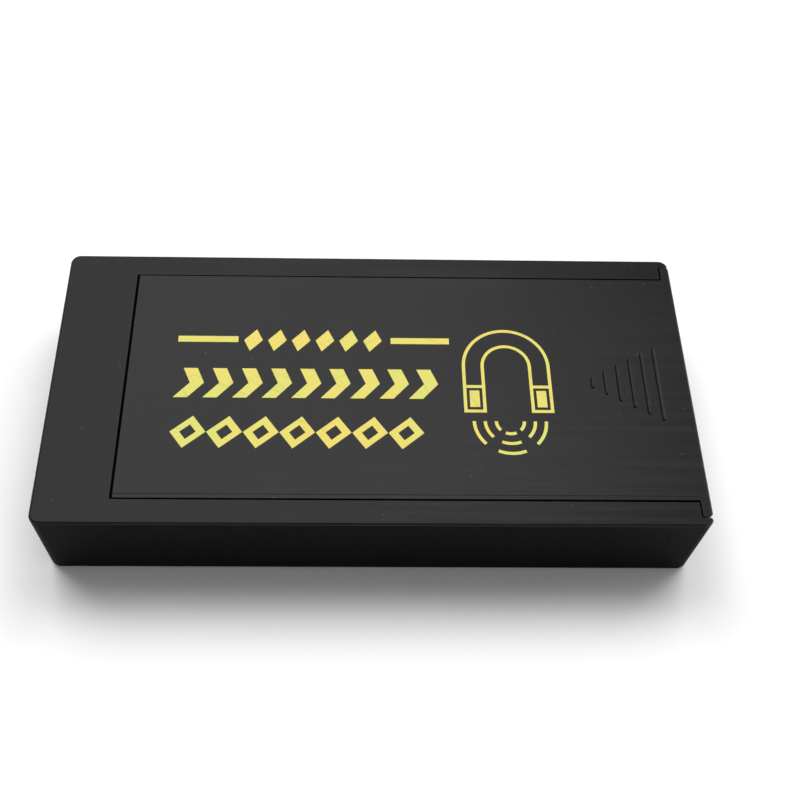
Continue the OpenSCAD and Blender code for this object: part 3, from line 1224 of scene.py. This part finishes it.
@dataclass
class Lid:
    """The sliding lid with its thumb ribs and foil print."""

    shop: PaintShop
    press: MotifPress
    under_level: float = 14.4 * MM
    border: float = 0.3 * MM
    end_wall: float = 1.0 * MM
    end_facing: float = 0.8  # least reach of the end wall's normal
    foil_thickness: float = 0.05 * MM
    foil_proud: float = 0.02 * MM
    slant: float = 0.24
    dashes: tuple[tuple[Point2, Point2], ...] = (
        ((-30.1 * MM, 7.0 * MM), (-20.8 * MM, 8.1 * MM)),
        ((2.9 * MM, 6.9 * MM), (12.0 * MM, 8.0 * MM)),
    )
    pins: EjectorMarks = EjectorMarks(
        (4.0 * MM, 0.0), pitch=21.0 * MM, row_pitch=27.0 * MM, width=3.0 * MM, opening=0.84)
    softener: EdgeSoftener = EdgeSoftener()
    sign: HorseshoeSign = HorseshoeSign()
    top: float = field(init=False)
    end: float = field(init=False)

    def __post_init__(self) -> None:
        """Reads the level of the box's top and where the lid ends."""
        self.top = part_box("case_body")[1].z
        self.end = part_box("sliding_lid")[1].x

    def build(self) -> None:
        """Makes the lid, its print and the ejector marks under it."""
        piece = moulding("sliding_lid", "lid_moulding", self.softener)
        # The end wall takes the darker, duller copy of the plastic, which paints its shade.
        paint_faces(piece.data, self.shop.pick(Finish.LID, Finish.INNER, Finish.SHADED_SIDE), self._side)
        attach(piece, "lid")
        for print_piece in [*self._ornament_rows(), self._drawn_print()]:
            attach(print_piece, "lid")
        layout = self.pins.layout("lid_ejector_marks", self.under_level)
        marks = self.press.press(layout, self.shop[Finish.INNER])
        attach(marks, "lid")

    def _side(self, centre: Vector, normal: Vector) -> int:
        """Tells the top, the inside and the end wall apart.

        Args:
            centre: Centre of a face.
            normal: The way it faces.

        Returns:
            0 for the top of the lid, 1 for its inside, 2 for its end wall, which gets the copy with
            painted shade.
        """
        wall = self.end - self.end_wall
        if centre.z < self.top - self.border and centre.x < wall:
            return 1
        return 2 * (normal.x > self.end_facing and centre.x > wall)

    @property
    def foil_base(self) -> float:
        """Level of the foil's underside, just inside the lid."""
        return self.top + self.foil_proud - self.foil_thickness

    def _ornament_rows(self) -> list[Object]:
        """Presses the three rows of slanted ornament.

        Returns:
            The rows' pieces.
        """
        common = {"base": self.foil_base, "thickness": self.foil_thickness, "slant": self.slant}
        rows = (
            MotifField("lid_print_lozenges", Motif.LOZENGE, (-9.2 * MM, 7.4 * MM), columns=6,
                       pitch=3.7 * MM, width=2.9 * MM, height=4.0 * MM, **common),
            MotifField("lid_print_chevrons", Motif.CHEVRON, (-10.6 * MM, -0.4 * MM), columns=9,
                       pitch=4.45 * MM, width=3.9 * MM, height=5.2 * MM, **common),
            MotifField("lid_print_rings", Motif.LOZENGE, (-11.2 * MM, -8.9 * MM), columns=7,
                       pitch=5.4 * MM, width=5.3 * MM, height=5.4 * MM, opening=0.46, **common),
        )
        return [self.press.press(row, self.shop[Finish.FOIL]) for row in rows]

    def _drawn_print(self) -> Object:
        """Cuts the two dashes and the sign.

        Returns:
            The piece.
        """
        sheet = FoilSheet(self.foil_base, self.foil_thickness)
        for low, high in self.dashes:
            sheet.patch(rectangle(low, high))
        self.sign.draw(sheet)
        return sheet.piece("lid_print_sign", self.shop[Finish.FOIL])


@dataclass
class MagnetSet:
    """The magnets, steel plates and glue in the pockets."""

    shop: PaintShop

    FINISHES = {"magnet": Finish.FERRITE, "backing_plate": Finish.STEEL, "glue_bed": Finish.GLUE}

    def build(self) -> None:
        """Dresses the six inner pieces."""
        for side in ("left", "right"):
            for part, finish in self.FINISHES.items():
                node = f"{side}_{part}"
                dress(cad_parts[node].data, [self.shop[finish]])
                log.info("%s: dressed in %s", node, finish.value.name)


# ---- Studio --------------------------------------------------------------


def towards(azimuth: float, elevation: float) -> Vector:
    """Gives a unit vector by degrees from the back of the box towards +X, and above the floor."""
    turn, rise = math.radians(azimuth), math.radians(elevation)
    return Vector((math.cos(rise) * math.sin(turn), math.cos(rise) * math.cos(turn), math.sin(rise)))


@dataclass(frozen=True)
class PhotoCamera:
    """The camera of the photograph, as fitted to the box's edges, its azimuth from the front."""

    azimuth: float = -2.581
    elevation: float = 59.563
    roll: float = 2.638
    distance: float = 160.33 * MM
    target: tuple[float, float, float] = (-0.691 * MM, -3.257 * MM, 16.0 * MM)
    focal_pixels: float = 1062.2
    image_pixels: float = 800.0
    axis_column: float = 368.0
    sensor: float = 36.0
    clip_start: float = 10.0 * MM

    def build(self) -> None:
        """Makes the camera and gives it to the scene."""
        data = bpy.data.cameras.new("photo_camera")
        data.sensor_width = self.sensor
        data.lens = self.focal_pixels * self.sensor / self.image_pixels
        data.shift_x = MIDDLE - self.axis_column / self.image_pixels
        data.clip_start = self.clip_start
        azimuth, roll = math.radians(self.azimuth), math.radians(self.roll)
        back = towards(180.0 - self.azimuth, self.elevation)
        level = Vector((math.cos(azimuth), math.sin(azimuth), 0.0))
        upright = back.cross(level)
        right = level * math.cos(roll) + upright * math.sin(roll)
        up = upright * math.cos(roll) - level * math.sin(roll)
        camera = bpy.data.objects.new("photo_camera", data)
        turn = Matrix((right, up, back)).transposed().to_4x4()
        camera.matrix_world = Matrix.Translation(Vector(self.target) + back * self.distance) @ turn
        bpy.context.scene.collection.objects.link(camera)
        bpy.context.scene.camera = camera


@dataclass(frozen=True)
class Softbox:
    """A square soft lamp that faces the box and doesn't show in its gloss."""

    name: str
    azimuth: float
    elevation: float = 56.0
    distance: float = 1.1
    size: float = 0.6
    power: float = 6.2

    def build(self) -> None:
        """Hangs the lamp."""
        data = bpy.data.lights.new(self.name, "AREA")
        data.shape = "SQUARE"
        data.size = self.size
        data.energy = self.power
        place = towards(self.azimuth, self.elevation)
        lamp = bpy.data.objects.new(self.name, data)
        lamp.visible_glossy = False
        lamp.location = place * self.distance
        lamp.rotation_euler = place.to_track_quat("Z", "Y").to_euler()
        bpy.context.scene.collection.objects.link(lamp)


@dataclass
class Studio:
    """Paper floor, soft lamps behind the box and a dim room around it."""

    shop: PaintShop
    floor_half: float = 0.9
    floor_gap: float = 0.02 * MM
    room_colour: Colour = (0.17, 0.17, 0.17)
    window_colour: Colour = (0.80, 0.80, 0.80)
    window: tuple[float, float] = (0.30, 0.75)  # where it starts and is full, towards +X
    patch_azimuth: float = -14.0
    patch_elevation: float = 64.0
    patch_fade: float = 31.0
    patch_full: float = 5.0
    horizon_blur: float = 0.03
    softboxes: tuple[Softbox, ...] = (
        Softbox("rear_left_softbox", -35.0),
        Softbox("rear_right_softbox", 35.0),
    )
    camera: PhotoCamera = PhotoCamera()

    def build(self) -> None:
        """Sets the floor, the lamps, the room and the camera."""
        self._floor()
        for softbox in self.softboxes:
            softbox.build()
        self._room()
        self.camera.build()
        bpy.context.scene.view_settings.view_transform = "Standard"

    def _floor(self) -> None:
        """Lays the paper the box stands on, a hair below the magnets' faces."""
        mesh = bpy.data.meshes.new("paper_floor")
        half = self.floor_half
        corners = [(x, y, -self.floor_gap) for x, y in rectangle((-half, -half), (half, half))]
        mesh.from_pydata(corners, [], [(0, 1, 2, 3)])
        mesh_object("paper_floor", mesh, [self.shop[Finish.PAPER]])

    def _room(self) -> None:
        """Makes a dim room with a white patch over the box and a window at the lid's end.

        The ground is white too, and so is all that the camera sees past the box.
        """
        world = bpy.data.worlds.new("room")
        world.use_nodes = True
        recipe = Recipe(world.node_tree)
        middle = towards(self.patch_azimuth, self.patch_elevation)
        heading = recipe.add("ShaderNodeTexCoord").outputs["Generated"]
        facing = recipe.vector("DOT_PRODUCT", heading, middle, output=1)
        dim, bright = (math.cos(math.radians(a)) for a in (self.patch_fade, self.patch_full))
        share = recipe.ramp(facing, dim, bright)
        along, _, rise = recipe.add("ShaderNodeSeparateXYZ", {0: heading}).outputs
        sides = recipe.blend(recipe.ramp(along, *self.window), self.room_colour, self.window_colour)
        above = recipe.blend(share, sides, WHITE)
        around = recipe.blend(recipe.ramp(rise, 0.0, -self.horizon_blur), above, WHITE)
        seen = recipe.add("ShaderNodeLightPath").outputs["Is Camera Ray"]
        colour = recipe.blend(seen, around, WHITE)
        light = recipe.add("ShaderNodeBackground", {"Color": colour, "Strength": 1.0})
        recipe.add("ShaderNodeOutputWorld", {0: light.outputs[0]})
        bpy.context.scene.world = world


def main() -> None:
    """Builds the box's looks and the studio."""
    logging.basicConfig(level=logging.INFO, format="%(message)s")
    shop = PaintShop()
    press = MotifPress()
    Case(shop, press).build()
    Lid(shop, press).build()
    MagnetSet(shop).build()
    Studio(shop).build()


if __name__ == "__main__":
    main()
